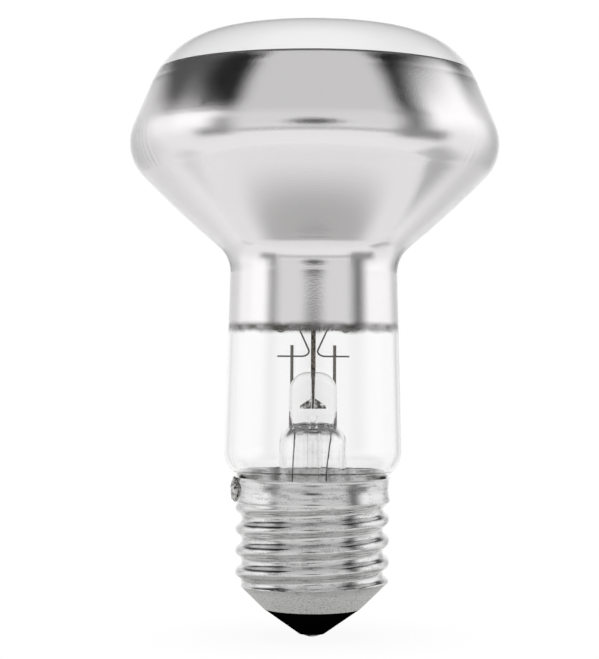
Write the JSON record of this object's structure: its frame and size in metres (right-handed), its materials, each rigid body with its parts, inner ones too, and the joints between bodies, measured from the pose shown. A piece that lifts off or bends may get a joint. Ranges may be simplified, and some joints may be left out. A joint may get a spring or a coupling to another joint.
{
  "type": "reflector bulb",
  "caption": "Incandescent reflector bulb on a screw cap: blown glass with a mirrored bowl, satin dome and clear neck that shows the stem, posts and filament.",
  "frame": {"origin": "tip of the centre contact, on the lamp's axis", "axes": "+Z along the lamp's axis from the cap to the dome; the lead posts stand in the XZ plane, the side solder is on -X, the filament's gap faces -Y"},
  "size_m": [0.063, 0.063, 0.1044],
  "materials": {
    "envelope_glass": "clear, satin inside the dome",
    "mirror_film": "vacuum-deposited aluminium, slightly satin",
    "stem_glass": "clear",
    "nickel_wire": "dull nickel",
    "copper_wire": "dull copper-clad wire",
    "dark_wire": "oxidised molybdenum",
    "tungsten": "drawn tungsten",
    "cap_sheet": "rolled sheet, slightly mottled",
    "black_glass": "moulded black insulating glass",
    "contact_brass": "stamped",
    "solder": "rough, dark soldered",
    "cement": "cured basing cement"
  },
  "bodies": {
    "root": {"glass_envelope": "envelope_glass", "mirror_coating": "mirror_film", "glass_stem": "stem_glass", "exhaust_tube": "stem_glass", "left_post": "nickel_wire", "right_post": "nickel_wire", "seal_wires": "copper_wire", "support_rod": "dark_wire", "filament_hooks": "dark_wire", "filament": "tungsten", "side_wire": "copper_wire", "tip_wire": "copper_wire", "cap_shell": "cap_sheet", "cap_insulator": "black_glass", "contact_plate": "contact_brass", "tip_solder": "solder", "side_solder": "solder", "basing_cement": "cement"}
  },
  "joints": []
}
